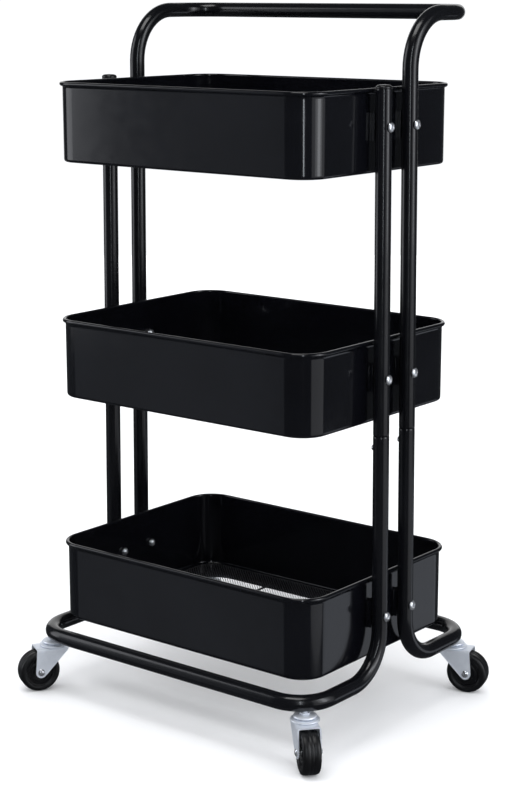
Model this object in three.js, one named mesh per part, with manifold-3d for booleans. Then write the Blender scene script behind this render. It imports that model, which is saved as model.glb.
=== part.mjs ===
// Three-tier rolling utility cart in black powder-coated steel: three deep trays with mesh floors,
// bolted between two pairs of tubular posts, on bent-tube base frames with four swivel casters.
// Millimetres, +Z up, +X along the trays' long side, the push handle on the +Y side.
import * as THREE from 'three';
import { mergeVertices } from 'three/addons/utils/BufferGeometryUtils.js';
import Module from 'manifold-3d';

const wasm = await Module();
wasm.setup();

// Tubes
const TUBE_RADIUS = 9.5;
const TUBE_WALL = 1.2;
const TUBE_SIDES = 12;
const POST_X = 212.5;
const POST_Y = 26.5;
const BASE_BEND = 54;
const HANDLE_BEND = 65;
const CORNER_BEND = 43.5;
const STEPS_PER_BEND = 4;

// Heights above the floor
const BASE_Z = 75;
const JOINT_Z = 363;
const HANDLE_Z = 850.3;
const FRONT_POST_TOP = 765.6;
const TRAY_RIMS = { bottom: 190.6, middle: 473.9, top: 765.9 };

// Depths of the bent loops from the centre plane
const BASE_Y = 167.5;
const HANDLE_Y = 156;

// Trays, measured at the wall just under the rim bead
const TRAY_HALF_LENGTH = 197.3;
const TRAY_HALF_WIDTH = 147;
const TRAY_CORNER = 33.3;
const TRAY_DEPTH = 98;
const TRAY_DRAFT = 0.8;
const TRAY_FLANGE = 33;
const SHEET = 1;
const TRAY_CORNER_STEPS = 4;
const MESH_PANEL_HALF_LENGTH = 188;
const MESH_PANEL_HALF_WIDTH = 138;
const MESH_PANEL_CORNER = 29;
const MESH_PANEL_THICKNESS = 1;
const FLOOR_WIRE_RADIUS = 1.3;
const FLOOR_WIRE_X = 62;

// Fasteners
const BOLT_DROP = 44;
const BOLT_SHANK = 2;
const BOLT_HOLE = 2.4;
const BRACKET_HEIGHT = 32.5;
const JOINT_SCREW_Z = 347.4;
const SPIGOT_LENGTH = 30;
const SPIGOT_RADIUS = 7.75;
const SPIGOT_WALL = 1.2;
const FIT_GAP = 0.3;
const SMALL_SIDES = 8;

// Casters
const WHEEL_RADIUS = 25.4;
const TREAD_HALF_WIDTH = 10.7;
const CASTER_TRAIL = 19.7;
const FORK_GAP_HALF = 12;
const FORK_PLATE = 1.8;
const FORK_TOP = 55.3;
const FORK_BACK = 24.5;
const FORK_FRONT = 14;
const FORK_END_RADIUS = 7;
const AXLE_RADIUS = 3;
const STEM_RADIUS = 3.9;
const STEM_TOP = 80;
const CASTER_HEADINGS = { front_left: 241, front_right: 319, rear_left: 164, rear_right: 16 };

const FINISHES = {
  powder_coat: { color: 0x111214, roughness: 0.28, metalness: 0.1 },
  mesh: { color: 0x0d0d0e, roughness: 0.45, metalness: 0.2 },
  zinc: { color: 0xb9bcc0, roughness: 0.3, metalness: 0.95 },
  steel: { color: 0xc9ccd1, roughness: 0.22, metalness: 0.95 },
  plastic: { color: 0x151516, roughness: 0.5, metalness: 0 },
  rubber: { color: 0x121213, roughness: 0.6, metalness: 0 },
};

const cart = new THREE.Group();

function addMesh(parent, name, geometry, finish) {
  const mesh = new THREE.Mesh(geometry, new THREE.MeshStandardMaterial(FINISHES[finish]));
  mesh.name = name;
  parent.add(mesh);
  return mesh;
}

function toSolid(geometry) {
  const plain = geometry.clone();
  plain.deleteAttribute('normal');
  plain.deleteAttribute('uv');
  const merged = mergeVertices(plain, 1e-4);
  return new wasm.Manifold(new wasm.Mesh({
    numProp: 3,
    vertProperties: new Float32Array(merged.getAttribute('position').array),
    triVerts: new Uint32Array(merged.getIndex().array),
  }));
}

function toGeometry(solid) {
  const mesh = solid.getMesh();
  const geometry = new THREE.BufferGeometry();
  geometry.setAttribute('position', new THREE.BufferAttribute(mesh.vertProperties, 3));
  geometry.setIndex(new THREE.BufferAttribute(mesh.triVerts, 1));
  geometry.computeVertexNormals();
  return geometry;
}

function cut(geometry, tools) {
  return toGeometry(tools.reduce((solid, tool) => solid.subtract(toSolid(tool)), toSolid(geometry)));
}

function join(geometries) {
  return toGeometry(geometries.map(toSolid).reduce((whole, piece) => whole.add(piece)));
}

// A lathed solid about +Z, from points [radius, z].
function latheZ(profile, segments) {
  const points = profile.map(([radius, z]) => new THREE.Vector2(radius, z));
  return new THREE.LatheGeometry(points, segments).rotateX(Math.PI / 2);
}

// A drill along X from x0 to x1.
function drillX(radius, x0, x1, y, z) {
  const drill = new THREE.CylinderGeometry(radius, radius, Math.abs(x1 - x0), SMALL_SIDES);
  return drill.rotateZ(Math.PI / 2).translate((x0 + x1) / 2, y, z);
}

// A drill along Z from z0 to z1.
function drillZ(radius, x, y, z0, z1) {
  const drill = new THREE.CylinderGeometry(radius, radius, z1 - z0, SMALL_SIDES);
  return drill.rotateX(Math.PI / 2).translate(x, y, (z0 + z1) / 2);
}

// A path whose stations are used exactly as listed, so straight runs need no extra sections.
class StationPath extends THREE.Curve {
  constructor(stations) {
    super();
    this.stations = stations;
  }

  stationAt(u) {
    return this.stations[Math.round(u * (this.stations.length - 1))];
  }

  getPointAt(u) {
    return this.stationAt(u).point.clone();
  }

  getTangentAt(u) {
    return this.stationAt(u).tangent.clone();
  }
}

// Stations along straight runs between corners, with each inner corner rounded to its bend radius.
function bentStations(corners, bends) {
  const directions = corners.slice(1).map((corner, i) => corner.clone().sub(corners[i]).normalize());
  const stations = [{ point: corners[0].clone(), tangent: directions[0] }];
  bends.forEach((radius, i) => {
    const incoming = directions[i];
    const outgoing = directions[i + 1];
    const turn = incoming.angleTo(outgoing);
    const inward = outgoing.clone().addScaledVector(incoming, -Math.cos(turn)).normalize();
    const start = corners[i + 1].clone().addScaledVector(incoming, -radius * Math.tan(turn / 2));
    const centre = start.clone().addScaledVector(inward, radius);
    for (let step = 0; step <= STEPS_PER_BEND; step += 1) {
      const angle = (turn * step) / STEPS_PER_BEND;
      stations.push({
        point: centre.clone()
          .addScaledVector(inward, -radius * Math.cos(angle))
          .addScaledVector(incoming, radius * Math.sin(angle)),
        tangent: incoming.clone().multiplyScalar(Math.cos(angle))
          .addScaledVector(inward, Math.sin(angle)),
      });
    }
  });
  stations.push({ point: corners[corners.length - 1].clone(), tangent: directions[directions.length - 1] });
  return stations;
}

function bentTube(corners, bends) {
  const section = new THREE.Shape().absarc(0, 0, TUBE_RADIUS, 0, 2 * Math.PI, false);
  section.holes.push(new THREE.Path().absarc(0, 0, TUBE_RADIUS - TUBE_WALL, 0, 2 * Math.PI, true));
  const path = new StationPath(bentStations(corners, bends));
  return new THREE.ExtrudeGeometry(section, {
    steps: path.stations.length - 1,
    extrudePath: path,
    curveSegments: TUBE_SIDES / 2,
  });
}

// The reduced end of an upper tube, which slides into the lower tube.
function spigot(x, y) {
  const shoulder = JOINT_Z + FIT_GAP;
  return latheZ([
    [SPIGOT_RADIUS - SPIGOT_WALL, JOINT_Z - SPIGOT_LENGTH],
    [SPIGOT_RADIUS, JOINT_Z - SPIGOT_LENGTH],
    [SPIGOT_RADIUS, shoulder],
    [TUBE_RADIUS - TUBE_WALL / 2, shoulder],
    [TUBE_RADIUS - TUBE_WALL / 2, shoulder + 4],
    [SPIGOT_RADIUS - SPIGOT_WALL, shoulder + 4],
    [SPIGOT_RADIUS - SPIGOT_WALL, JOINT_Z - SPIGOT_LENGTH],
  ], TUBE_SIDES).translate(x, y, 0);
}

// Holes for the bolts of one tray, through both walls of a post.
function boltDrill(side, y, rim) {
  const outer = side * (POST_X + TUBE_RADIUS + 2);
  return drillX(BOLT_HOLE, outer, side * (POST_X - TUBE_RADIUS - 2), y, rim - BOLT_DROP);
}

// The hole for a joint screw, through the inner-facing wall only.
function jointDrill(side, y) {
  return drillX(BOLT_HOLE, side * (POST_X - TUBE_RADIUS - 2), side * POST_X, y, JOINT_SCREW_Z);
}

function addBaseFrame(name, facing) {
  const depth = facing * BASE_Y;
  const legY = facing * POST_Y;
  const corners = [
    [-POST_X, legY, JOINT_Z], [-POST_X, legY, BASE_Z], [-POST_X, depth, BASE_Z],
    [POST_X, depth, BASE_Z], [POST_X, legY, BASE_Z], [POST_X, legY, JOINT_Z],
  ].map((corner) => new THREE.Vector3(...corner));
  const tube = bentTube(corners, [BASE_BEND, CORNER_BEND, CORNER_BEND, BASE_BEND]);
  const stem = stemOffset();
  const tools = [-1, 1].flatMap((side) => [
    boltDrill(side, legY, TRAY_RIMS.bottom),
    jointDrill(side, legY),
    drillZ(STEM_RADIUS + 0.4, side * stem.x, facing * stem.y, BASE_Z - TUBE_RADIUS - 4, BASE_Z),
  ]);
  addMesh(cart, name, cut(tube, tools), 'powder_coat');
}

function addHandleFrame() {
  const corners = [
    [-POST_X, POST_Y, JOINT_Z + FIT_GAP], [-POST_X, POST_Y, HANDLE_Z], [-POST_X, HANDLE_Y, HANDLE_Z],
    [POST_X, HANDLE_Y, HANDLE_Z], [POST_X, POST_Y, HANDLE_Z], [POST_X, POST_Y, JOINT_Z + FIT_GAP],
  ].map((corner) => new THREE.Vector3(...corner));
  const tube = bentTube(corners, [HANDLE_BEND, CORNER_BEND, CORNER_BEND, HANDLE_BEND]);
  const whole = join([tube, spigot(-POST_X, POST_Y), spigot(POST_X, POST_Y)]);
  const tools = [-1, 1].flatMap((side) => [
    boltDrill(side, POST_Y, TRAY_RIMS.middle),
    boltDrill(side, POST_Y, TRAY_RIMS.top),
    jointDrill(side, POST_Y),
  ]);
  addMesh(cart, 'handle_frame', cut(whole, tools), 'powder_coat');
}

function addFrontPost(name, side) {
  const x = side * POST_X;
  const inner = TUBE_RADIUS - TUBE_WALL;
  const bottom = JOINT_Z + FIT_GAP;
  const tube = latheZ([
    [inner, bottom], [TUBE_RADIUS, bottom], [TUBE_RADIUS, FRONT_POST_TOP],
    [inner, FRONT_POST_TOP], [inner, bottom],
  ], TUBE_SIDES).translate(x, -POST_Y, 0);
  const tools = [
    boltDrill(side, -POST_Y, TRAY_RIMS.middle),
    boltDrill(side, -POST_Y, TRAY_RIMS.top),
    jointDrill(side, -POST_Y),
  ];
  addMesh(cart, `front_post_${name}`, cut(join([tube, spigot(x, -POST_Y)]), tools), 'powder_coat');
  const seat = FRONT_POST_TOP + FIT_GAP;
  const plug = TUBE_RADIUS - TUBE_WALL - 0.6;
  const cap = latheZ([
    [0, seat - 12], [plug, seat - 12], [plug, seat], [TUBE_RADIUS, seat],
    [TUBE_RADIUS, seat + 2.5], [TUBE_RADIUS - 1.2, seat + 4.3], [0, seat + 4.3],
  ], TUBE_SIDES).translate(x, -POST_Y, 0);
  addMesh(cart, `front_post_cap_${name}`, cap, 'plastic');
}

// Points of a rounded rectangle that stands off the tray's wall line by an offset.
function outlinePoints(offset, smallestCorner) {
  const radius = Math.max(TRAY_CORNER + offset, smallestCorner);
  const centreX = TRAY_HALF_LENGTH + offset - radius;
  const centreY = TRAY_HALF_WIDTH + offset - radius;
  const points = [];
  [[1, 1], [-1, 1], [-1, -1], [1, -1]].forEach(([signX, signY], quadrant) => {
    for (let step = 0; step <= TRAY_CORNER_STEPS; step += 1) {
      const angle = (Math.PI / 2) * (quadrant + step / TRAY_CORNER_STEPS);
      points.push([
        signX * centreX + radius * Math.cos(angle),
        signY * centreY + radius * Math.sin(angle),
      ]);
    }
  });
  return points;
}

// A closed section [offset from the wall line, height], carried around the tray's outline.
function sweepAroundTray(section) {
  const rings = section.map(([offset, z]) => outlinePoints(offset, 8).map(([x, y]) => [x, y, z]));
  const count = rings[0].length;
  const index = [];
  rings.forEach((ring, i) => {
    const next = (i + 1) % rings.length;
    for (let j = 0; j < count; j += 1) {
      const a = i * count + j;
      const b = i * count + ((j + 1) % count);
      const c = next * count + j;
      const d = next * count + ((j + 1) % count);
      index.push(a, c, b, b, c, d);
    }
  });
  const geometry = new THREE.BufferGeometry();
  geometry.setAttribute('position', new THREE.Float32BufferAttribute(rings.flat(2), 3));
  geometry.setIndex(index);
  geometry.computeVertexNormals();
  return geometry;
}

// The tray shell: rolled rim bead, slightly drafted wall, bent foot and inward floor flange.
function trayShell(rim) {
  const foot = rim - TRAY_DEPTH;
  const toe = -TRAY_DRAFT;
  const section = [
    [-SHEET, rim - 1.2], [-0.3, rim - 0.3], [1.1, rim], [2.9, rim - 0.8], [3.7, rim - 2.6],
    [2.9, rim - 4.4], [1.1, rim - 5.2], [0, rim - 5.6], [toe, foot + 3.5], [toe - 0.9, foot + 0.9],
    [toe - 3.1, foot], [-TRAY_FLANGE - 3, foot], [-TRAY_FLANGE - 3, foot + SHEET],
    [toe - 3.5, foot + SHEET], [toe - 1.7, foot + 1.8], [toe - SHEET, foot + 3.8],
  ];
  return sweepAroundTray(section);
}

function roundedPlate(halfLength, halfWidth, corner, thickness) {
  const shape = new THREE.Shape();
  shape.absarc(halfLength - corner, halfWidth - corner, corner, 0, Math.PI / 2);
  shape.absarc(corner - halfLength, halfWidth - corner, corner, Math.PI / 2, Math.PI);
  shape.absarc(corner - halfLength, corner - halfWidth, corner, Math.PI, 1.5 * Math.PI);
  shape.absarc(halfLength - corner, corner - halfWidth, corner, 1.5 * Math.PI, 2 * Math.PI);
  return new THREE.ExtrudeGeometry(shape, { depth: thickness, bevelEnabled: false, curveSegments: 3 });
}

// The floor lies on the flange, stiffened by two wires that span the flange's opening.
function meshFloor(rim) {
  const bottom = rim - TRAY_DEPTH + SHEET + FIT_GAP;
  const panel = roundedPlate(
    MESH_PANEL_HALF_LENGTH, MESH_PANEL_HALF_WIDTH, MESH_PANEL_CORNER, MESH_PANEL_THICKNESS,
  ).translate(0, 0, bottom);
  const span = 2 * (TRAY_HALF_WIDTH - TRAY_FLANGE - 3 - 1);
  const wires = [-1, 1].map((side) => new THREE.CylinderGeometry(
    FLOOR_WIRE_RADIUS, FLOOR_WIRE_RADIUS, span, 8,
  ).translate(side * FLOOR_WIRE_X, 0, bottom - FLOOR_WIRE_RADIUS + 0.4));
  return join([panel, ...wires]);
}

// A comb-shaped spacer between the tray's end wall and its two posts.
function endBracket(side, rim) {
  const plateInner = TRAY_HALF_LENGTH + 0.2;
  const plateOuter = plateInner + 1.5;
  const earTip = POST_X - TUBE_RADIUS + 0.2;
  const shape = new THREE.Shape();
  const earEdges = [-POST_Y - 4.75, -POST_Y - 3.25, -POST_Y + 3.25, -POST_Y + 4.75,
    POST_Y - 4.75, POST_Y - 3.25, POST_Y + 3.25, POST_Y + 4.75];
  shape.moveTo(plateInner, -POST_Y - 7);
  shape.lineTo(plateOuter, -POST_Y - 7);
  earEdges.forEach((y, i) => {
    const rising = i % 2 === 0;
    shape.lineTo(rising ? plateOuter : earTip, y);
    shape.lineTo(rising ? earTip : plateOuter, y);
  });
  shape.lineTo(plateOuter, POST_Y + 7);
  shape.lineTo(plateInner, POST_Y + 7);
  shape.closePath();
  const plate = new THREE.ExtrudeGeometry(shape, { depth: BRACKET_HEIGHT, bevelEnabled: false });
  plate.translate(0, 0, rim - BOLT_DROP - BRACKET_HEIGHT / 2);
  if (side < 0) plate.rotateZ(Math.PI);
  const drills = [-1, 1].map((row) => drillX(
    BOLT_HOLE, side * (plateInner - 2), side * (plateOuter + 2), row * POST_Y, rim - BOLT_DROP,
  ));
  return cut(plate, drills);
}

// A pan-head bolt along X with its dome nut run up on the far end, head outwards.
function trayBolt(side, y, rim) {
  const nut = TRAY_HALF_LENGTH - SHEET - 1.2 - POST_X - TUBE_RADIUS;
  const bolt = latheZ([
    [0, nut - 5], [3.6, nut - 4.4], [5.2, nut - 2.5], [5.2, nut], [BOLT_SHANK, nut],
    [BOLT_SHANK, FIT_GAP], [5.8, FIT_GAP], [5.8, 1.2], [4.4, 2.4], [0, 3],
  ], SMALL_SIDES);
  return bolt.rotateY((side * Math.PI) / 2)
    .translate(side * (POST_X + TUBE_RADIUS), y, rim - BOLT_DROP);
}

// A pan-head screw through the lower tube into the spigot, head towards the cart's middle.
function jointScrew(side, y) {
  const screw = latheZ([
    [0, -4.5], [1.7, -4.5], [1.7, FIT_GAP], [3.6, FIT_GAP], [3.6, 1.6], [2.6, 2.6], [0, 2.9],
  ], SMALL_SIDES);
  return screw.rotateY((-side * Math.PI) / 2)
    .translate(side * (POST_X - TUBE_RADIUS), y, JOINT_SCREW_Z);
}

function addTray(tier, rim) {
  const wall = TRAY_HALF_LENGTH;
  const drills = [-1, 1].flatMap((side) => [-1, 1].map((row) => drillX(
    BOLT_HOLE, side * (wall - 6), side * (wall + 4), row * POST_Y, rim - BOLT_DROP,
  )));
  addMesh(cart, `${tier}_tray`, cut(trayShell(rim), drills), 'powder_coat');
  addMesh(cart, `${tier}_tray_mesh_floor`, meshFloor(rim), 'mesh');
  [['left', -1], ['right', 1]].forEach(([sideName, side]) => {
    addMesh(cart, `${tier}_bracket_${sideName}`, endBracket(side, rim), 'powder_coat');
    [['front', -1], ['rear', 1]].forEach(([rowName, row]) => {
      addMesh(cart, `${tier}_bolt_${rowName}_${sideName}`, trayBolt(side, row * POST_Y, rim), 'steel');
    });
  });
}

// Casters stand under the middle of each base corner bend.
function stemOffset() {
  const inset = CORNER_BEND * (1 - Math.SQRT1_2);
  return { x: POST_X - inset, y: BASE_Y - inset };
}

// Swivel head: kingpin, double ball race, lock nut and the stem that enters the tube.
function casterStem() {
  const crown = FORK_TOP - FORK_PLATE;
  const tubeUnderside = BASE_Z - TUBE_RADIUS;
  return latheZ([
    [0, crown - 3.2], [5, crown - 3.2], [5, crown - FIT_GAP], [AXLE_RADIUS, crown - FIT_GAP],
    [AXLE_RADIUS, FORK_TOP + FIT_GAP], [17.2, FORK_TOP + FIT_GAP], [17.2, FORK_TOP + 2.4],
    [13, FORK_TOP + 4], [12.5, FORK_TOP + 7], [7, FORK_TOP + 8], [6.5, tubeUnderside - 0.4],
    [STEM_RADIUS, tubeUnderside - 0.4], [STEM_RADIUS, STEM_TOP], [0, STEM_TOP],
  ], 12);
}

// Stamped fork in the caster's own frame: the stem on the Z axis, the wheel trailing along +X.
function casterFork() {
  const leg = new THREE.Shape();
  leg.moveTo(FORK_BACK, FORK_TOP);
  leg.lineTo(-FORK_FRONT, FORK_TOP);
  leg.lineTo(-FORK_FRONT, FORK_TOP - 5);
  leg.absarc(CASTER_TRAIL, WHEEL_RADIUS, FORK_END_RADIUS, (-130 * Math.PI) / 180, 0, false);
  leg.closePath();
  const legs = [-FORK_GAP_HALF, FORK_GAP_HALF + FORK_PLATE].map((y) => new THREE.ExtrudeGeometry(leg, {
    depth: FORK_PLATE, bevelEnabled: false, curveSegments: 5,
  }).rotateX(Math.PI / 2).translate(0, y, 0));
  const halfWidth = FORK_GAP_HALF + FORK_PLATE;
  const front = new THREE.Shape();
  front.moveTo(FORK_BACK, halfWidth);
  front.lineTo(-FORK_FRONT, halfWidth);
  front.absarc(-FORK_FRONT + 10, 0, Math.hypot(10, halfWidth),
    Math.PI - Math.atan2(halfWidth, 10), Math.PI + Math.atan2(halfWidth, 10), false);
  front.lineTo(FORK_BACK, -halfWidth);
  front.closePath();
  const crown = new THREE.ExtrudeGeometry(front, {
    depth: FORK_PLATE, bevelEnabled: false, curveSegments: 4,
  }).translate(0, 0, FORK_TOP - FORK_PLATE);
  const axleDrill = new THREE.CylinderGeometry(AXLE_RADIUS + 0.5, AXLE_RADIUS + 0.5, 40, SMALL_SIDES)
    .translate(CASTER_TRAIL, 0, WHEEL_RADIUS);
  const kingpinDrill = drillZ(AXLE_RADIUS + 0.4, 0, 0, FORK_TOP - 6, FORK_TOP + 4);
  return cut(join([crown, ...legs]), [axleDrill, kingpinDrill]);
}

// A lathed solid about the wheel's own axis, placed at the axle.
function onAxle(profile, segments) {
  const points = profile.map(([radius, along]) => new THREE.Vector2(radius, along));
  return new THREE.LatheGeometry(points, segments).translate(CASTER_TRAIL, 0, WHEEL_RADIUS);
}

function casterAxle() {
  const face = FORK_GAP_HALF + FORK_PLATE + FIT_GAP;
  return onAxle([
    [0, -face - 2], [3.4, -face - 1.6], [4.6, -face], [AXLE_RADIUS, -face],
    [AXLE_RADIUS, face], [4.6, face], [3.4, face + 1.6], [0, face + 2],
  ], SMALL_SIDES);
}

function wheelHub() {
  const bore = AXLE_RADIUS + 0.5;
  return onAxle([
    [bore, -11], [7, -11], [8, -7], [17.2, -7], [17.2, 7], [8, 7], [7, 11], [bore, 11], [bore, -11],
  ], 16);
}

function wheelTyre() {
  const half = TREAD_HALF_WIDTH;
  const inner = 17.9;
  return onAxle([
    [inner, 2 - half], [19.5, -half], [23.2, 0.4 - half], [WHEEL_RADIUS, 3 - half],
    [WHEEL_RADIUS, half - 3], [23.2, half - 0.4], [19.5, half], [inner, half - 2], [inner, 2 - half],
  ], 24);
}

function addCaster(corner, heading, sideX, sideY) {
  const stem = stemOffset();
  const caster = new THREE.Group();
  caster.position.set(sideX * stem.x, sideY * stem.y, 0);
  caster.rotation.z = THREE.MathUtils.degToRad(heading);
  addMesh(caster, `caster_${corner}_stem`, casterStem(), 'zinc');
  addMesh(caster, `caster_${corner}_fork`, casterFork(), 'zinc');
  addMesh(caster, `caster_${corner}_axle`, casterAxle(), 'steel');
  addMesh(caster, `caster_${corner}_hub`, wheelHub(), 'plastic');
  addMesh(caster, `caster_${corner}_tyre`, wheelTyre(), 'rubber');
  cart.add(caster);
}

addBaseFrame('front_base_frame', -1);
addBaseFrame('rear_base_frame', 1);
addHandleFrame();
addFrontPost('left', -1);
addFrontPost('right', 1);
Object.entries(TRAY_RIMS).forEach(([tier, rim]) => addTray(tier, rim));
[['front', -1], ['rear', 1]].forEach(([rowName, row]) => {
  [['left', -1], ['right', 1]].forEach(([sideName, side]) => {
    addMesh(cart, `joint_screw_${rowName}_${sideName}`, jointScrew(side, row * POST_Y), 'steel');
    addCaster(`${rowName}_${sideName}`, CASTER_HEADINGS[`${rowName}_${sideName}`], side, row);
  });
});

// The origin is the middle of the footprint, on the floor.
const footprint = new THREE.Box3().setFromObject(cart, true);
cart.position.set(
  -(footprint.min.x + footprint.max.x) / 2,
  -(footprint.min.y + footprint.max.y) / 2,
  -footprint.min.z,
);

export default cart;
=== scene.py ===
import math

import bmesh
import bpy
from mathutils import Matrix, Vector


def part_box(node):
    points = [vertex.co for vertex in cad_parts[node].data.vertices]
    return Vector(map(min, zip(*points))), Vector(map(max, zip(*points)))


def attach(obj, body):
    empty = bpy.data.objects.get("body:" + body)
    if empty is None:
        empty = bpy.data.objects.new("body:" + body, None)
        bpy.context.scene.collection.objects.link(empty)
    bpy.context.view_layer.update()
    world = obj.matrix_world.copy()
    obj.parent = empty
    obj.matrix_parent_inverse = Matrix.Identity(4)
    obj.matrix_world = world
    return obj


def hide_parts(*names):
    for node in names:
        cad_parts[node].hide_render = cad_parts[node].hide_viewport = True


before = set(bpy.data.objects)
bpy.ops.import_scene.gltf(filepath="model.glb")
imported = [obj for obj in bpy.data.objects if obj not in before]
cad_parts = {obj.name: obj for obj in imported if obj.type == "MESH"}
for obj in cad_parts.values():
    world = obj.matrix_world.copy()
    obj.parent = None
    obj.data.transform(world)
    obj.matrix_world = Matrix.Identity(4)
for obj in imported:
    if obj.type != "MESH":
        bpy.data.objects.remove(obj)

MM = 0.001
TIERS = ("bottom", "middle", "top")
CORNERS = ("front_left", "front_right", "rear_left", "rear_right")
SIDES = ((-1, "left"), (1, "right"))
ROWS = ((-1, "front"), (1, "rear"))
X_AXIS = Vector((1, 0, 0))
Y_AXIS = Vector((0, 1, 0))
Z_AXIS = Vector((0, 0, 1))
HALF_TURN = Matrix.Rotation(math.pi, 4, "Z")

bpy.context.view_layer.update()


def middle(node):
    """The centre of a node's box, in metres."""
    low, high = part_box(node)
    return (low + high) / 2


# The cart in millimetres. Heights are above the floor, depths from the centre of the trays.
CENTRE_Y = middle("top_tray").y / MM

# Tube frames: the tube's radius, the posts, the base loops and the handle.
TUBE = 9.5
POST_X = 212.5
POST_Y = 26.5
POST_MIDDLE_Z = 560
LOOP_Z = 75
LOOP_Y = 167.5
LOOP_BEND = 54
CORNER_BEND = 43.5
JOINT_Z = 363
HANDLE_Y = 156
HANDLE_Z = 850.3
HANDLE_BEND = 65
PLUG_DOME = 4.6
POST_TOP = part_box("front_post_cap_left")[1].z / MM - PLUG_DOME

# Trays: half sizes of the wall under the bead, the rolled bead, the foot and the inward flange.
BEAD = 2.6
BEAD_REACH = 3.7
RIMS = {tier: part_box(tier + "_tray")[1].z / MM for tier in TIERS}
TRAY_LOW, TRAY_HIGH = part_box("top_tray")
TRAY_X = (TRAY_HIGH.x - TRAY_LOW.x) / 2 / MM - BEAD_REACH
TRAY_Y = (TRAY_HIGH.y - TRAY_LOW.y) / 2 / MM - BEAD_REACH
TRAY_CORNER = 33.3
TRAY_DEPTH = 98
SHEET = 1.0
FOOT_BEND = 3.8
FLANGE = 36

# Mesh floors: half sizes of the panel, the two families of wires, the border wire and the stays.
PANEL_DROP = 96.2
PANEL_X = 188
PANEL_Y = 138
PANEL_CORNER = 29
MESH_PITCH = 3.0
MESH_WIRE = 0.14
MESH_STRAND = 0.52
MESH_LIFT = 0.3
BORDER_WIDTH = 0.7
BORDER_HEIGHT = 0.6
STAY_X = 62
STAY_Y = 110
STAY_DROP = 2.1
STAY_WIRE = 1.3

# End brackets: the plate's two faces, the tips of the prongs and where each prong stands by its post.
BRACKET_HEIGHT = 32.5
BRACKET_HALF = 33.5
BRACKET_INNER = 197.5
BRACKET_PLATE = 199.0
BRACKET_TIP = 203.0
PRONG_FAR = 4.75
PRONG_NEAR = 3.25

# Fasteners: the bolts' depth under the rim, and where heads and nuts sit against their parts.
BOLT_DROP = 44
BOLT_HEAD_X = 222.4
BOLT_NUT_X = 195.1
JOINT_SCREW_X = 202.7
JOINT_SCREW_Z = 347.4

# Distance of the extra ring that keeps a long straight face flat next to a bend.
SUPPORT = 2


# ---------------------------------------------------------------- shapes
def circle(centre, across, other, radius, sides, first=0):
    """A ring of points about a centre, in the plane of two directions."""
    turns = [2 * math.pi * (k + first) / sides for k in range(sides)]
    return [centre + across * (radius * math.cos(t)) + other * (radius * math.sin(t)) for t in turns]


def hexagon(turn, half_width):
    """How far a hexagon's outline is from its centre, at an angle."""
    from_flat = (turn + math.pi / 6) % (math.pi / 3) - math.pi / 6
    return half_width / math.cos(from_flat)


class Shape:
    """A mesh in the making, in millimetres about the centre of the cart's floor outline."""

    def __init__(self):
        self.points = []
        self.faces = []

    def add(self, points, faces, place=Matrix.Identity(4)):
        """Points and faces taken in at a place."""
        first = len(self.points)
        self.points += [place @ Vector(p) for p in points]
        self.faces += [[first + i for i in face] for face in faces]
        return self

    def rings(self, rings, closed=False, place=Matrix.Identity(4)):
        """A skin over rings of equal length, joined in order, with end faces unless it's closed."""
        count = len(rings[0])
        total = len(rings)
        points = [p for ring in rings for p in ring]
        faces = []
        for i in range(total if closed else total - 1):
            a, b = i * count, (i + 1) % total * count
            for k in range(count):
                n = (k + 1) % count
                faces.append([a + k, a + n, b + n, b + k])
        if not closed:
            faces.append(list(range(count))[::-1])
            faces.append(list(range((total - 1) * count, total * count)))
        return self.add(points, faces, place)

    def lathe(self, profile, steps=48, axis="Z", place=Matrix.Identity(4), closed=False):
        """A turned shape from (radius, distance along the axis)."""
        rings = []
        for radius, along in profile:
            ring = []
            for k in range(steps):
                a = 2 * math.pi * k / steps
                u, v = radius * math.cos(a), radius * math.sin(a)
                ring.append({"Z": (u, v, along), "X": (along, u, v), "Y": (v, along, u)}[axis])
            rings.append(ring)
        return self.rings(rings, closed, place)

    def mesh(self, name, sharp=32, weld=1e-7):
        """The finished mesh data, smooth up to an edge angle in degrees."""
        data = bpy.data.meshes.new(name)
        shift = Vector((0, CENTRE_Y, 0))
        data.from_pydata([(p + shift) * MM for p in self.points], [], self.faces)
        bm = bmesh.new()
        bm.from_mesh(data)
        bmesh.ops.remove_doubles(bm, verts=bm.verts, dist=weld)
        bmesh.ops.dissolve_degenerate(bm, edges=bm.edges, dist=weld)
        bmesh.ops.recalc_face_normals(bm, faces=bm.faces)
        for face in bm.faces:
            face.smooth = True
        for edge in bm.edges:
            edge.smooth = edge.is_manifold and edge.calc_face_angle(0) < math.radians(sharp)
        bm.to_mesh(data)
        bm.free()
        return data


def piece(name, data, material, body, node):
    """An object that rides on a body and replaces one of its nodes."""
    made = bpy.data.objects.new(name, data)
    bpy.context.scene.collection.objects.link(made)
    made.data.materials.clear()
    made.data.materials.append(material)
    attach(made, body)
    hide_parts(node)
    return made


def bevel(made, width, angle=32):
    """Rounded edges, of a width in millimetres, where faces meet at more than an angle."""
    rounded = made.modifiers.new("rounded edges", "BEVEL")
    rounded.width = width * MM
    rounded.segments = 2
    rounded.limit_method = "ANGLE"
    rounded.angle_limit = math.radians(angle)
    rounded.harden_normals = False


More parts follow.
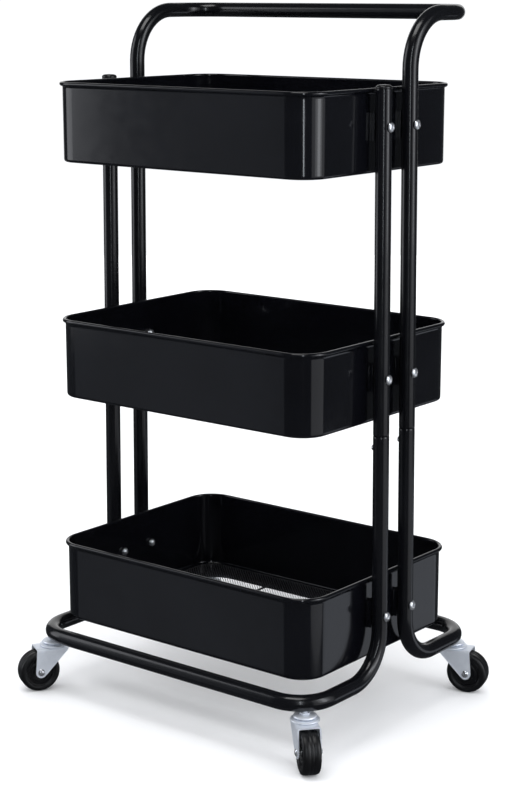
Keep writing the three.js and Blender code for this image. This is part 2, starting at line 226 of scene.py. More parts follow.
def bent_line(corners, radii, turn=6):
    """Stations (point, direction) along a line through corners, each rounded to its radius."""
    corners = [Vector(c) for c in corners]
    stations = [(corners[0], (corners[1] - corners[0]).normalized())]
    for i, radius in enumerate(radii, 1):
        before = (corners[i] - corners[i - 1]).normalized()
        after = (corners[i + 1] - corners[i]).normalized()
        angle = before.angle(after)
        start = corners[i] - before * radius * math.tan(angle / 2)
        side = (after - before * before.dot(after)).normalized()
        steps = max(2, round(math.degrees(angle) / turn))
        stations.append((start - before * SUPPORT, before))
        for k in range(steps + 1):
            a = angle * k / steps
            point = start + before * radius * math.sin(a) + side * radius * (1 - math.cos(a))
            stations.append((point, before * math.cos(a) + side * math.sin(a)))
        stations.append((stations[-1][0] + after * SUPPORT, after))
    stations.append((corners[-1], (corners[-1] - corners[-2]).normalized()))
    return stations


def tube(stations, radius=TUBE, sides=32, lip=0.9, wall=2.4):
    """A round tube along stations, with a rolled lip at both ends."""
    end = [(0.0, radius - wall), (0.0, radius - lip), (lip * 0.3, radius - lip * 0.3)]
    end += [(lip, radius), (lip + SUPPORT, radius)]
    start, first = stations[0]
    stop, last = stations[-1]
    path = [(start + first * s, first, r) for s, r in end]
    path += [(point, along, radius) for point, along in stations[1:-1]]
    path += [(stop - last * s, last, r) for s, r in reversed(end)]
    across = first.orthogonal().normalized()
    rings = []
    for point, along, r in path:
        across = (across - along * across.dot(along)).normalized()
        rings.append(circle(point, across, along.cross(across), r, sides))
    return Shape().rings(rings)


def round_sweep(section, half_x, half_y, corner, steps=14, smallest=0.3):
    """Rings of a section of (distance outward, height) taken round a rounded rectangle."""
    rings = []
    for sx, sy, first in ((1, 1, 0), (-1, 1, 90), (-1, -1, 180), (1, -1, 270)):
        for k in range(-1, steps + 2):
            a = math.radians(first + 90 * min(max(k, 0), steps) / steps)
            past = SUPPORT * (min(k, 0) + max(k - steps, 0))
            ring = []
            for out, z in section:
                radius = max(corner + out, smallest)
                x = sx * (half_x + out - radius) + radius * math.cos(a) - past * math.sin(a)
                y = sy * (half_y + out - radius) + radius * math.sin(a) + past * math.cos(a)
                ring.append((x, y, z))
            rings.append(ring)
    return rings


# ---------------------------------------------------------------- materials
def new_material(name):
    """A material, its node tree, its shader and the object's own coordinates."""
    material = bpy.data.materials.new(name)
    material.use_nodes = True
    tree = material.node_tree
    shader = tree.nodes["Principled BSDF"]
    where = tree.nodes.new("ShaderNodeTexCoord")
    return material, tree, shader, where.outputs["Object"]


def noise(tree, where, scale, detail=4.0, stretch=None, rough=0.5):
    """Noise of a scale per metre, stretched along an axis if asked."""
    if stretch:
        mapping = tree.nodes.new("ShaderNodeMapping")
        mapping.inputs["Scale"].default_value = stretch
        tree.links.new(where, mapping.inputs["Vector"])
        where = mapping.outputs["Vector"]
    texture = tree.nodes.new("ShaderNodeTexNoise")
    texture.inputs["Scale"].default_value = scale
    texture.inputs["Detail"].default_value = detail
    texture.inputs["Roughness"].default_value = rough
    tree.links.new(where, texture.inputs["Vector"])
    return texture.outputs["Fac"]


def ramp(tree, value, low, high, start=0.35, stop=0.65):
    """A value turned into a colour between two."""
    made = tree.nodes.new("ShaderNodeValToRGB")
    made.color_ramp.elements[0].position = start
    made.color_ramp.elements[0].color = (*low, 1)
    made.color_ramp.elements[1].position = stop
    made.color_ramp.elements[1].color = (*high, 1)
    tree.links.new(value, made.inputs["Fac"])
    return made.outputs["Color"]


def spread(tree, value, low, high):
    """The middle of a noise's range, spread between two numbers."""
    made = tree.nodes.new("ShaderNodeMapRange")
    made.inputs["From Min"].default_value = 0.3
    made.inputs["From Max"].default_value = 0.7
    made.inputs["To Min"].default_value = low
    made.inputs["To Max"].default_value = high
    tree.links.new(value, made.inputs["Value"])
    return made.outputs["Result"]


def bump(tree, shader, value, distance, strength, under=None):
    """Relief on the shader's normal, over another relief if there is one."""
    made = tree.nodes.new("ShaderNodeBump")
    made.inputs["Distance"].default_value = distance
    made.inputs["Strength"].default_value = strength
    tree.links.new(value, made.inputs["Height"])
    if under:
        tree.links.new(under, made.inputs["Normal"])
    tree.links.new(made.outputs["Normal"], shader.inputs["Normal"])
    return made.outputs["Normal"]


def coating(name, dark, light, smooth, rough, peel, gloss):
    """Baked powder coat: slow waves under a fine orange peel, with a thin clear gloss."""
    material, tree, shader, where = new_material(name)
    shader.inputs["IOR"].default_value = 1.47
    shader.inputs["Coat Weight"].default_value = gloss
    shader.inputs["Coat Roughness"].default_value = 0.05
    broad = noise(tree, where, 9, 3)
    tree.links.new(ramp(tree, broad, dark, light), shader.inputs["Base Color"])
    roughness = spread(tree, noise(tree, where, 60, 5), smooth, rough)
    tree.links.new(roughness, shader.inputs["Roughness"])
    waves = bump(tree, shader, noise(tree, where, 22, 2), 0.0005, 0.05)
    bump(tree, shader, noise(tree, where, 480, 3), peel, 0.2, waves)
    return material


def metal(name, dark, light, metallic, smooth, rough, grain, stretch=None, crystals=0.0):
    """Plated steel: a cloudy tint, a fine grain, and faint crystals if asked."""
    material, tree, shader, where = new_material(name)
    shader.inputs["Metallic"].default_value = metallic
    shader.inputs["Anisotropic"].default_value = 0.15
    cloud = noise(tree, where, 90, 4, rough=0.55)
    tree.links.new(ramp(tree, cloud, dark, light), shader.inputs["Base Color"])
    fine = noise(tree, where, 700, 4, stretch)
    tree.links.new(spread(tree, fine, smooth, rough), shader.inputs["Roughness"])
    under = bump(tree, shader, cloud, 0.0004, crystals) if crystals else None
    bump(tree, shader, fine, grain, 0.15, under)
    return material


def moulded(name, dark, light, smooth, rough, grain, scale):
    """Moulded plastic or rubber with a fine grain."""
    material, tree, shader, where = new_material(name)
    shader.inputs["IOR"].default_value = 1.5
    cloud = noise(tree, where, 70, 5)
    tree.links.new(ramp(tree, cloud, dark, light), shader.inputs["Base Color"])
    roughness = spread(tree, noise(tree, where, 240, 4), smooth, rough)
    tree.links.new(roughness, shader.inputs["Roughness"])
    bump(tree, shader, noise(tree, where, scale, 3), grain, 0.5)
    return material


powder = coating(
    "black powder coat", dark=(0.0016, 0.0017, 0.0026), light=(0.0026, 0.0028, 0.0040),
    smooth=0.10, rough=0.15, peel=0.00002, gloss=0.2,
)
tube_coat = coating(
    "tube powder coat", dark=(0.0018, 0.0019, 0.0028), light=(0.0030, 0.0032, 0.0044),
    smooth=0.17, rough=0.24, peel=0.00002, gloss=0.2,
)
wire_coat = coating(
    "coated wire", dark=(0.006, 0.006, 0.007), light=(0.013, 0.013, 0.015),
    smooth=0.3, rough=0.4, peel=0.00003, gloss=0.1,
)
zinc = metal(
    "zinc plate", dark=(0.74, 0.78, 0.85), light=(0.80, 0.84, 0.91),
    metallic=0.6, smooth=0.38, rough=0.46, grain=0.000002, crystals=0.01,
)
nickel = metal(
    "nickel plate", dark=(0.80, 0.82, 0.86), light=(0.92, 0.93, 0.96),
    metallic=0.93, smooth=0.12, rough=0.2, grain=0.00002, stretch=(1, 1, 0.2),
)
plastic = moulded(
    "black plastic", dark=(0.0025, 0.0025, 0.0032), light=(0.0045, 0.0045, 0.0055),
    smooth=0.26, rough=0.38, grain=0.00004, scale=900,
)
rubber = moulded(
    "black tyre", dark=(0.0022, 0.0022, 0.0028), light=(0.004, 0.004, 0.005),
    smooth=0.32, rough=0.44, grain=0.00006, scale=700,
)
cap_plastic = moulded(
    "cap plastic", dark=(0.003, 0.003, 0.0036), light=(0.006, 0.006, 0.007),
    smooth=0.22, rough=0.32, grain=0.00004, scale=900,
)


# ---------------------------------------------------------------- frames
def base_line(side):
    """The two legs, upright bends and loop of one base frame."""
    y = side * POST_Y
    far = side * LOOP_Y
    corners = [
        (-POST_X, y, JOINT_Z),
        (-POST_X, y, LOOP_Z),
        (-POST_X, far, LOOP_Z),
        (POST_X, far, LOOP_Z),
        (POST_X, y, LOOP_Z),
        (POST_X, y, JOINT_Z),
    ]
    return bent_line(corners, [LOOP_BEND, CORNER_BEND, CORNER_BEND, LOOP_BEND])


def handle_line():
    """The rear uprights above the joint and the push handle between them."""
    corners = [
        (-POST_X, POST_Y, JOINT_Z),
        (-POST_X, POST_Y, HANDLE_Z),
        (-POST_X, HANDLE_Y, HANDLE_Z),
        (POST_X, HANDLE_Y, HANDLE_Z),
        (POST_X, POST_Y, HANDLE_Z),
        (POST_X, POST_Y, JOINT_Z),
    ]
    return bent_line(corners, [HANDLE_BEND, CORNER_BEND, CORNER_BEND, HANDLE_BEND])


# (radius, height above the post's end) of the plug: its stem inside the tube, then its domed cap.
PLUG_PROFILE = [
    (0, -10), (6.2, -10), (6.6, -9), (6.6, 0.1), (9.2, 0.1), (9.5, 0.5), (9.4, 1.8), (8.8, 3.0),
    (7.6, 3.9), (5.6, 4.4), (3.0, PLUG_DOME), (0, PLUG_DOME),
]

for side, row in ROWS:
    node = row + "_base_frame"
    data = tube(base_line(side)).mesh(node)
    piece(node + "_tube", data, tube_coat, "cart_frame", node)

data = tube(handle_line()).mesh("handle_frame")
piece("handle_frame_tube", data, tube_coat, "cart_frame", "handle_frame")

for side, name in SIDES:
    heights = (JOINT_Z, POST_MIDDLE_Z, POST_TOP)
    line = [(Vector((side * POST_X, -POST_Y, z)), Z_AXIS) for z in heights]
    piece(
        "front_post_tube_" + name, tube(line).mesh("front_post"), tube_coat,
        "cart_frame", "front_post_" + name,
    )
    place = Matrix.Translation((side * POST_X, -POST_Y, POST_TOP))
    piece(
        "front_post_plug_" + name, Shape().lathe(PLUG_PROFILE, 40, "Z", place).mesh("plug"),
        cap_plastic, "cart_frame", "front_post_cap_" + name,
    )


# ---------------------------------------------------------------- trays
def tray_section(rim):
    """Closed section of the wall as (distance outward, height): rolled bead, wall, foot, flange."""
    foot = rim - TRAY_DEPTH
    bead_x, bead_z, bead_turn, bead_steps = 1.1, rim - BEAD, 248, 16
    bend_x, bend_z, bend_steps = -4.6, foot + FOOT_BEND, 6
    section = [(-1.0, bead_z)]
    for k in range(1, bead_steps + 1):
        a = math.radians(180 - bead_turn * k / bead_steps)
        half_width = 2.1 + 0.5 * min(1, k / 4)
        section.append((bead_x + half_width * math.cos(a), bead_z + BEAD * math.sin(a)))
    section += [(0.5, rim - 5.6), (0.0, rim - 6.6), (-0.02, rim - 8.6)]
    section += [(-0.27, rim - 35), (-0.77, foot + 7.0), (-0.8, foot + 4.6)]
    for k in range(bend_steps + 1):
        a = math.radians(-90 * k / bend_steps)
        section.append((bend_x + FOOT_BEND * math.cos(a), bend_z + FOOT_BEND * math.sin(a)))
    section += [(-FLANGE + 0.4, foot), (-FLANGE, foot + SHEET / 2), (-FLANGE + 0.4, foot + SHEET)]
    inner_bend = FOOT_BEND - SHEET
    for k in range(bend_steps + 1):
        a = math.radians(-90 + 90 * k / bend_steps)
        section.append((bend_x + inner_bend * math.cos(a), bend_z + inner_bend * math.sin(a)))
    section += [(-1.78, foot + 7.0), (-1.27, rim - 35), (-1.03, rim - 8.6)]
    return section


def on_panel(point):
    """Whether a point lies inside the panel's rounded outline."""
    past_x = max(abs(point.x) - (PANEL_X - PANEL_CORNER), 0)
    past_y = max(abs(point.y) - (PANEL_Y - PANEL_CORNER), 0)
    return math.hypot(past_x, past_y) < PANEL_CORNER


def panel_edge(start, direction, halvings=20):
    """The point where a wire that leaves a point on the panel meets the outline."""
    near, far = 0, 2 * PANEL_X
    for _ in range(halvings):
        half_way = (near + far) / 2
        if on_panel(start + direction * half_way):
            near = half_way
        else:
            far = half_way
    return start + direction * near


def wire(shape, start, stop, radius, sides=6):
    """A straight level wire."""
    other = (stop - start).normalized().cross(Z_AXIS)
    shape.rings([circle(end, Z_AXIS, other, radius, sides, 0.5) for end in (start, stop)])


def mesh_panel(level):
    """Diagonal mesh cut to a rounded panel, a border wire and two stays under it."""
    shape = Shape()
    step = MESH_PITCH * math.sqrt(2)
    count = int((PANEL_X + PANEL_Y) / step)
    families = ((1, level + MESH_LIFT, MESH_WIRE), (-1, level - MESH_LIFT, MESH_STRAND))
    for slope, height, radius in families:
        along = Vector((1, slope, 0)).normalized()
        for k in range(-count, count + 1):
            crossing = k * step
            low = max(crossing - PANEL_Y, -PANEL_X)
            high = min(crossing + PANEL_Y, PANEL_X)
            x = (low + high) / 2
            start = Vector((x, slope * (x - crossing), height))
            if on_panel(start):
                wire(shape, panel_edge(start, -along), panel_edge(start, along), radius)
    for x in (-STAY_X, STAY_X):
        ends = [Vector((x, y, level - STAY_DROP)) for y in (-STAY_Y, STAY_Y)]
        wire(shape, *ends, STAY_WIRE, 14)
    turns = [2 * math.pi * k / 8 for k in range(8)]
    border = [
        (BORDER_WIDTH * math.cos(t) - BORDER_WIDTH, level + BORDER_HEIGHT * math.sin(t)) for t in turns
    ]
    return shape.rings(round_sweep(border, PANEL_X, PANEL_Y, PANEL_CORNER), closed=True)


def bracket(side, z):
    """A pressed comb between the tray's end and its two posts."""
    plate, tip = BRACKET_PLATE, BRACKET_TIP
    outline = [(BRACKET_INNER, -BRACKET_HALF), (BRACKET_INNER, BRACKET_HALF), (plate, BRACKET_HALF)]
    for y in (POST_Y, -POST_Y):
        for high, low in ((PRONG_FAR, PRONG_NEAR), (-PRONG_NEAR, -PRONG_FAR)):
            outline += [(plate, y + high), (tip, y + high), (tip, y + low), (plate, y + low)]
    outline.append((plate, -BRACKET_HALF))
    rings = []
    for height in (z - BRACKET_HEIGHT / 2, z + BRACKET_HEIGHT / 2):
        ring = [(side * x, y, height) for x, y in outline]
        rings.append(ring if side > 0 else ring[::-1])
    return Shape().rings(rings)


for tier in TIERS:
    rim = RIMS[tier]
    rings = round_sweep(tray_section(rim), TRAY_X, TRAY_Y, TRAY_CORNER)
    data = Shape().rings(rings, closed=True).mesh(tier + "_tray", 40)
    piece(tier + "_tray_pressing", data, powder, "cart_frame", tier + "_tray")
    data = mesh_panel(rim - PANEL_DROP).mesh(tier + "_mesh", 50)
    piece(
        tier + "_tray_wire_mesh", data, wire_coat, "cart_frame",
        tier + "_tray_mesh_floor",
    )
    for side, name in SIDES:
        data = bracket(side, rim - BOLT_DROP).mesh("bracket")
        made = piece(
            f"{tier}_bracket_{name}_pressing", data, powder, "cart_frame",
            f"{tier}_bracket_{name}",
        )
        bevel(made, 0.3)


# ---------------------------------------------------------------- fasteners
def cross_head(profile, recess, depth, thin):
    """A turned screw, head towards +X, with a cross cut into it."""
    top = max(along for radius, along in profile)
    screw = bpy.data.objects.new("screw", Shape().lathe(profile, 32, "X").mesh("screw", 30))
    rings = []
    for x, y, z in ((top - depth, recess * 0.55, thin * 0.3), (top + 1, recess * 1.2, thin * 0.6)):
        rings.append([(x, -y, -z), (x, y, -z), (x, y, z), (x, -y, z)])
    cutter = Shape()
    for a in (45, 135):
        cutter.rings(rings, place=Matrix.Rotation(math.radians(a), 4, "X"))
    tool = bpy.data.objects.new("tool", cutter.mesh("tool"))
    for made in (screw, tool):
        bpy.context.scene.collection.objects.link(made)
    cut = screw.modifiers.new("recess", "BOOLEAN")
    cut.object = tool
    cut.operation = "DIFFERENCE"
    cut.solver = "EXACT"
    cut.use_self = True
    graph = bpy.context.evaluated_depsgraph_get()
    data = bpy.data.meshes.new_from_object(screw.evaluated_get(graph))
    bpy.data.objects.remove(screw)
    bpy.data.objects.remove(tool)
    return data


def placed(source, name, matrix):
    """A copy of a mesh made about the origin, moved to its place in millimetres."""
    data = source.copy()
    data.name = name
    centre = Matrix.Translation((0, CENTRE_Y * MM, 0))
    move = matrix.copy()
    move.translation = move.translation * MM
    data.transform(centre @ move @ centre.inverted())
    return data


def dome_nut(place, steps=36, dome_steps=6):
    """A hexagon nut with a domed end, pointing along +X from 0."""
    base, dome_radius, dome_height, corner = 2.65, 4.4, 2.35, 5.0
    turns = [2 * math.pi * k / steps for k in range(steps)]
    rings = []
    for along, flat, rounding in ((0, 4.5, 0), (0.2, 4.75, 0.2), (2.3, 4.75, 0.2), (2.6, 4.6, 1.0)):
        ring = []
        for a in turns:
            sharp = hexagon(a, flat)
            r = sharp * (1 - rounding) + min(sharp, corner) * rounding
            ring.append((along, r * math.cos(a), r * math.sin(a)))
        rings.append(ring)
    for k in range(dome_steps + 1):
        rise = math.radians(90 * k / dome_steps)
        along = base + dome_height * math.sin(rise)
        r = max(0.02, dome_radius * math.cos(rise))
        rings.append([(along, r * math.cos(a), r * math.sin(a)) for a in turns])
    return Shape().rings(rings, place=place)


# Turned profiles as (radius, distance along the screw, with the head's seat at 0).
PAN_BOLT = [
    (0, -27.2), (1.8, -27.2), (2.0, -26.8), (2.0, 0.0), (5.5, 0.0), (5.8, 0.35), (5.75, 0.9),
    (5.3, 1.6), (4.4, 2.2), (3.2, 2.6), (1.8, 2.85), (0, 2.95),
]
SMALL_SCREW = [
    (0, -5.0), (1.6, -5.0), (1.8, -4.6), (1.8, 0.0), (3.35, 0.0), (3.6, 0.3), (3.5, 1.0),
    (3.1, 1.8), (2.4, 2.3), (1.4, 2.55), (0, 2.6),
]

pan_bolt = cross_head(PAN_BOLT, recess=2.7, depth=1.6, thin=0.9)
small_screw = cross_head(SMALL_SCREW, recess=1.7, depth=1.3, thin=0.6)

for tier in TIERS:
    z = RIMS[tier] - BOLT_DROP
    for depth, row in ROWS:
        for side, name in SIDES:
            turn = Matrix.Identity(4) if side > 0 else HALF_TURN
            # Each head stopped at an angle of its own when it was tightened.
            twist = Matrix.Rotation(math.radians(17 * (side + 2 * depth) + RIMS[tier]), 4, "X")
            head_at = Matrix.Translation((side * BOLT_HEAD_X, depth * POST_Y, z)) @ turn
            nut_at = Matrix.Translation((side * BOLT_NUT_X, depth * POST_Y, z)) @ turn @ HALF_TURN
            data = dome_nut(nut_at).mesh("nut")
            bm = bmesh.new()
            bm.from_mesh(data)
            bm.from_mesh(placed(pan_bolt, "bolt", head_at @ twist))
            bm.to_mesh(data)
            bm.free()
            node = f"{tier}_bolt_{row}_{name}"
            piece(node + "_and_nut", data, nickel, "cart_frame", node)

for depth, row in ROWS:
    for side, name in SIDES:
        turn = Matrix.Identity(4) if side < 0 else HALF_TURN
        twist = Matrix.Rotation(math.radians(23 * depth + 11 * side), 4, "X")
        place = Matrix.Translation((side * JOINT_SCREW_X, depth * POST_Y, JOINT_SCREW_Z)) @ turn
        node = f"joint_screw_{row}_{name}"
        data = placed(small_screw, "joint_screw", place @ twist)
        piece(node + "_cross_head", data, nickel, "cart_frame", node)


# ---------------------------------------------------------------- casters
# Each caster is made about its swivel axis, trailing towards +X, with heights above the floor.
AXLE_X = 19.7
AXLE_Z = 25.4

# The stamped fork: its outer half width, crown height, side bend and sheet.
FORK_HALF = 13.8
FORK_TOP = 55.3
FORK_BEND = 3.2
FORK_SHEET = 1.8

# A leg: its round end about the axle, its back edge and its slanting front edge from foot to skirt.
LEG_END = 7
LEG_BACK_X = 26.7
LEG_FRONT_X = 15.2
LEG_FRONT_Z = 20.04
SKIRT_FRONT_X = -14.0
SKIRT_Z = 50.3
CROWN_BACK_X = 24.5
CROWN_ROUND = 17.04
CROWN_ROUND_X = -4
LEG_ROWS = (18.42, 18.6, 19.0, 19.6, 20.3, 21.3, 22.6, 24.2, 26, 29, 33, 37, 41, 45, 48, SKIRT_Z)
CROWN_ROWS = (8.4, 6, 3, 0)

# The leg's front edge is flared outwards by a small lip.
LIP = 0.5
LIP_WIDTH = 2.0
LIP_FROM_Z = 22
LEG_INSIDE = 11

# The ball race and the stem's nut.
BALLS = 14
BALL = 0.6
RACE = 12.2
RACE_Z = 58.92
NUT_HALF = 5.9
NUT_CORNER = 6.6
NUT_ROWS = ((62.95, 0.35), (63.25, 0), (64.8, 0), (65.1, 0.35))

# Turned profiles as (radius, height) or (radius, distance from the wheel's middle).
STEM_PROFILE = [
    (0, 50.3), (4.6, 50.3), (5.0, 50.7), (5.0, 53.0), (3.2, 53.2), (3.2, 55.6), (8.5, 55.6),
    (16.4, 55.6), (17.1, 56.0), (17.2, 56.6), (16.9, 57.3), (15.6, 57.9), (13.6, 58.2), (10.2, 58.3),
    (10.2, 59.5), (13.0, 59.6), (13.8, 60.0), (13.9, 60.6), (13.2, 61.7), (11.4, 62.4), (8.4, 62.8),
    (3.9, 62.9), (3.9, 80), (0, 80),
]
HUB_SIDE = [
    (3.4, 8.6), (5.2, 8.6), (5.6, 8.2), (5.9, 7.2), (6.4, 6.9), (9.4, 6.9), (9.9, 7.2), (10.2, 7.8),
    (10.7, 8.1), (11.3, 8.1), (11.8, 7.8), (12.1, 7.2), (12.6, 7.0), (15.0, 7.1), (15.5, 7.6),
    (15.8, 8.6), (16.2, 9.1), (17.1, 9.2),
]
TYRE_SIDE = [
    (17.5, 9.3), (18.4, 9.6), (18.9, 10.1), (19.6, 10.6), (21.2, 10.7), (22.4, 10.6), (23.6, 10.2),
    (24.5, 9.4), (25.1, 8.2), (25.4, 6.6), (25.4, 2.7), (25.15, 2.3), (25.1, 2.0), (25.15, 1.7),
    (25.4, 1.3),
]
RIVET_HALF = [
    (3.0, 13.9), (4.5, 13.95), (4.5, 14.2), (4.0, 14.9), (3.0, 15.6), (1.6, 16.0), (0, 16.1),
]


def mirrored(profile):
    """A profile's side and its mirror image, from -Y to +Y."""
    return [(r, -y) for r, y in profile] + [(r, y) for r, y in reversed(profile)]


def leg_span(z):
    """The front and back edges of the fork's leg at a height."""
    round_end = math.sqrt(max(0, LEG_END**2 - (z - AXLE_Z) ** 2))
    before, behind = AXLE_X - round_end, AXLE_X + round_end
    if z > LEG_FRONT_Z:
        rise = min(1, (z - LEG_FRONT_Z) / (SKIRT_Z - LEG_FRONT_Z))
        before = LEG_FRONT_X + (SKIRT_FRONT_X - LEG_FRONT_X) * rise
    if z > AXLE_Z:
        rise = (z - AXLE_Z) / (FORK_TOP - AXLE_Z)
        behind = LEG_BACK_X + (CROWN_BACK_X - LEG_BACK_X) * rise
    return before, behind


def crown_front(y):
    """The crown's round front edge, at a distance from the fork's middle."""
    return CROWN_ROUND_X - math.sqrt(CROWN_ROUND**2 - min(y, FORK_HALF) ** 2)


def fork_rows(inset):
    """Rows (y, z, front x, back x) of the fork's skin, from one leg over the crown to the other."""
    half, top, bend = FORK_HALF - inset, FORK_TOP - inset, FORK_BEND - inset
    rows = [(half, z, *leg_span(z)) for z in LEG_ROWS]
    for k in range(7):
        a = math.radians(90 * k / 6)
        y = half - bend + bend * math.cos(a)
        z = top - bend + bend * math.sin(a)
        rows.append((y, z, crown_front(y), leg_span(z)[1]))
    rows += [(y, top, crown_front(y), CROWN_BACK_X) for y in CROWN_ROWS]
    return rows + [(-y, z, before, behind) for y, z, before, behind in rows[-2::-1]]


def fork(place, columns=14):
    """The fork's outer and inner skins, joined along their edges."""
    skins = (fork_rows(0), fork_rows(FORK_SHEET))
    rows = len(skins[0])
    size = rows * columns
    points, faces = [], []
    for skin in skins:
        for y, z, before, behind in skin:
            for c in range(columns):
                x = before + (behind - before) * (c / (columns - 1))
                flared = abs(y) > LEG_INSIDE and z > LIP_FROM_Z
                flare = LIP * math.exp(-((x - before) / LIP_WIDTH) ** 2) if flared else 0
                points.append((x, y + math.copysign(flare, y), z))
    for r in range(rows - 1):
        for c in range(columns - 1):
            a = r * columns + c
            faces.append([a, a + columns, a + columns + 1, a + 1])
            faces.append([size + a, size + a + 1, size + a + columns + 1, size + a + columns])
    for r in range(rows - 1):
        for c, flip in ((0, False), (columns - 1, True)):
            a = r * columns + c
            edge = [a, size + a, size + a + columns, a + columns]
            faces.append(edge[::-1] if flip else edge)
    for r in (0, rows - 1):
        for c in range(columns - 1):
            a = r * columns + c
            faces.append([a, a + 1, size + a + 1, size + a])
    return Shape().add(points, faces, place)


def swivel_head(place, nut_steps=36):
    """The head and stem, the balls in the race between its two cups, and the nut on the stem."""
    head = Shape().lathe(STEM_PROFILE, 48, "Z", place)
    turns = [math.radians(t) for t in range(0, 181, 30)]
    arc = [(BALL * math.sin(t), -BALL * math.cos(t)) for t in turns]
    for k in range(BALLS):
        round_race = Matrix.Rotation(2 * math.pi * k / BALLS, 4, "Z")
        head.lathe(arc, 10, "Z", place @ round_race @ Matrix.Translation((RACE, 0, RACE_Z)))
    nut = []
    for height, chamfer in NUT_ROWS:
        ring = []
        for k in range(nut_steps):
            a = 2 * math.pi * k / nut_steps
            radius = min(hexagon(a, NUT_HALF), NUT_CORNER - chamfer)
            ring.append((radius * math.cos(a), radius * math.sin(a), height))
        nut.append(ring)
    return head.rings(nut, place=place)


for corner in CORNERS:
    stem_at = middle(f"caster_{corner}_stem")
    trail = middle(f"caster_{corner}_tyre") - stem_at
    heading = math.atan2(trail.y, trail.x)
    to_swivel = Matrix.Translation((stem_at.x / MM, stem_at.y / MM - CENTRE_Y, 0))
    place = to_swivel @ Matrix.Rotation(heading, 4, "Z")
    at_axle = place @ Matrix.Translation((AXLE_X, 0, AXLE_Z))

    piece(
        f"caster_{corner}_swivel_head", swivel_head(place).mesh("head", 28), zinc,
        "cart_frame", f"caster_{corner}_stem",
    )
    made = piece(
        f"caster_{corner}_stamped_fork", fork(place).mesh("fork", 40), zinc,
        f"{corner}_fork", f"caster_{corner}_fork",
    )
    bevel(made, 0.35, 50)
    rivet = [(r, -y) for r, y in reversed(RIVET_HALF)] + RIVET_HALF
    piece(
        f"caster_{corner}_rivet", Shape().lathe(rivet, 32, "Y", at_axle).mesh("rivet"), nickel,
        f"{corner}_fork", f"caster_{corner}_axle",
    )
    hub = Shape().lathe(mirrored(HUB_SIDE), 64, "Y", at_axle, closed=True)
    piece(
        f"caster_{corner}_wheel_centre", hub.mesh("wheel_centre", 40), plastic,
        f"{corner}_wheel", f"caster_{corner}_hub",
    )
    tyre = Shape().lathe(mirrored(TYRE_SIDE), 72, "Y", at_axle, closed=True)
    piece(
        f"caster_{corner}_tread", tyre.mesh("tread", 40), rubber,
        f"{corner}_wheel", f"caster_{corner}_tyre",
    )


# ---------------------------------------------------------------- floor and light, in metres
FLOOR_RADIUS = 7.0
FLOOR_SIDES = 96
AIM_HEIGHT = 0.45
COOL = (0.93, 0.95, 1.0)
BLUE = (0.85, 0.9, 1.0)

floor_mesh = bpy.data.meshes.new("floor")
outline = circle(Vector((0, 0, 0)), X_AXIS, Y_AXIS, FLOOR_RADIUS, FLOOR_SIDES)
floor_mesh.from_pydata(outline, [], [list(range(FLOOR_SIDES))])
floor = bpy.data.objects.new("floor", floor_mesh)
bpy.context.scene.collection.objects.link(floor)
paper, tree, shader, where = new_material("pale floor")
pale = ramp(tree, noise(tree, where, 3, 4), (0.94, 0.94, 0.943), (0.965, 0.965, 0.968))
tree.links.new(pale, shader.inputs["Base Color"])
tree.links.new(spread(tree, noise(tree, where, 40, 3), 0.32, 0.38), shader.inputs["Roughness"])
shader.inputs["Specular IOR Level"].default_value = 0.0
bump(tree, shader, noise(tree, where, 300, 3), 0.0002, 0.1)
floor.data.materials.append(paper)
floor.visible_glossy = False


def background(tree, colour, strength):
    """A plain background shader."""
    made = tree.nodes.new("ShaderNodeBackground")
    made.inputs["Color"].default_value = (*colour, 1)
    made.inputs["Strength"].default_value = strength
    return made.outputs["Background"]


# The studio is bright all round, and dim where glossy parts mirror it, so the panels shape them.
world = bpy.data.worlds.new("studio")
bpy.context.scene.world = world
world.use_nodes = True
tree = world.node_tree
tree.nodes.clear()
output = tree.nodes.new("ShaderNodeOutputWorld")
rays = tree.nodes.new("ShaderNodeLightPath")
mix = tree.nodes.new("ShaderNodeMixShader")
tree.links.new(rays.outputs["Is Glossy Ray"], mix.inputs["Fac"])
tree.links.new(background(tree, (0.97, 0.98, 1.0), 1.08), mix.inputs[1])
tree.links.new(background(tree, (0.85, 0.92, 1.0), 0.06), mix.inputs[2])
tree.links.new(mix.outputs["Shader"], output.inputs["Surface"])


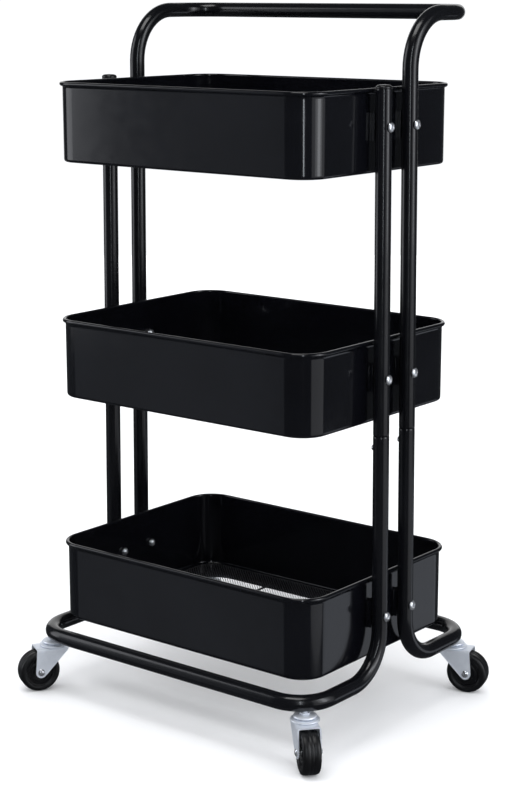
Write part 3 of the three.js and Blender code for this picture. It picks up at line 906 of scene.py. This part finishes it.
def panel_light(name, bearing, height, distance, width, tall, watts, colour=(1, 1, 1)):
    """A soft panel at a bearing from the cart's front, turning towards its right, aimed at the cart."""
    light = bpy.data.lights.new(name, "AREA")
    light.shape = "RECTANGLE"
    light.size, light.size_y = width, tall
    light.energy = watts
    light.color = colour
    made = bpy.data.objects.new(name, light)
    bpy.context.scene.collection.objects.link(made)
    a = math.radians(bearing)
    made.location = (distance * math.sin(a), -distance * math.cos(a), height)
    towards = Vector((0, 0, AIM_HEIGHT)) - made.location
    made.rotation_mode = "QUATERNION"
    made.rotation_quaternion = towards.to_track_quat("-Z", "Y")
    made.visible_camera = False


# Name, bearing in degrees, height, distance, width, tallness, watts, colour.
panel_light("right panel, wide", 98, 0.8, 3.0, 3.2, 3.8, 22, COOL)
panel_light("right panel", 98, 1.35, 3.0, 1.7, 2.5, 15, COOL)
panel_light("right panel, core", 99, 1.35, 3.0, 0.7, 2.5, 12, (0.93, 0.96, 1.0))
panel_light("front strip", 40, 1.35, 3.0, 0.2, 2.5, 13, (0.88, 0.94, 1.0))
panel_light("left panel", -59, 1.2, 3.0, 1.6, 2.6, 20, COOL)
panel_light("left panel, soft edge", -53, 1.2, 3.05, 1.1, 2.8, 3.6, COOL)
panel_light("left fill", -40, 0.8, 3.2, 0.75, 4.6, 2.2, BLUE)
panel_light("low right fill", 142, -0.85, 3.0, 1.5, 0.8, 2.2, BLUE)
panel_light("back panel", -141, 1.3, 3.6, 4.4, 3.0, 34)
panel_light("top panel", 10, 3.2, 0.8, 1.6, 1.2, 22)


# ---------------------------------------------------------------- camera
CAMERA_AT = (1.43304, -1.77373, 0.87742)
CAMERA_DOWN = 7.603
CAMERA_TURN = 38.377
SENSOR = 36
LENS = 84.598
SHIFT_UP = -0.2

scene = bpy.context.scene
scene.view_settings.view_transform = "Standard"
camera = bpy.data.cameras.new("camera")
camera.sensor_width = SENSOR
camera.lens = LENS
camera.shift_y = SHIFT_UP
camera.clip_start, camera.clip_end = 0.05, 100
view_point = bpy.data.objects.new("camera", camera)
scene.collection.objects.link(view_point)
view_point.location = CAMERA_AT
view_point.rotation_euler = (math.radians(90 - CAMERA_DOWN), 0, math.radians(CAMERA_TURN))
scene.camera = view_point
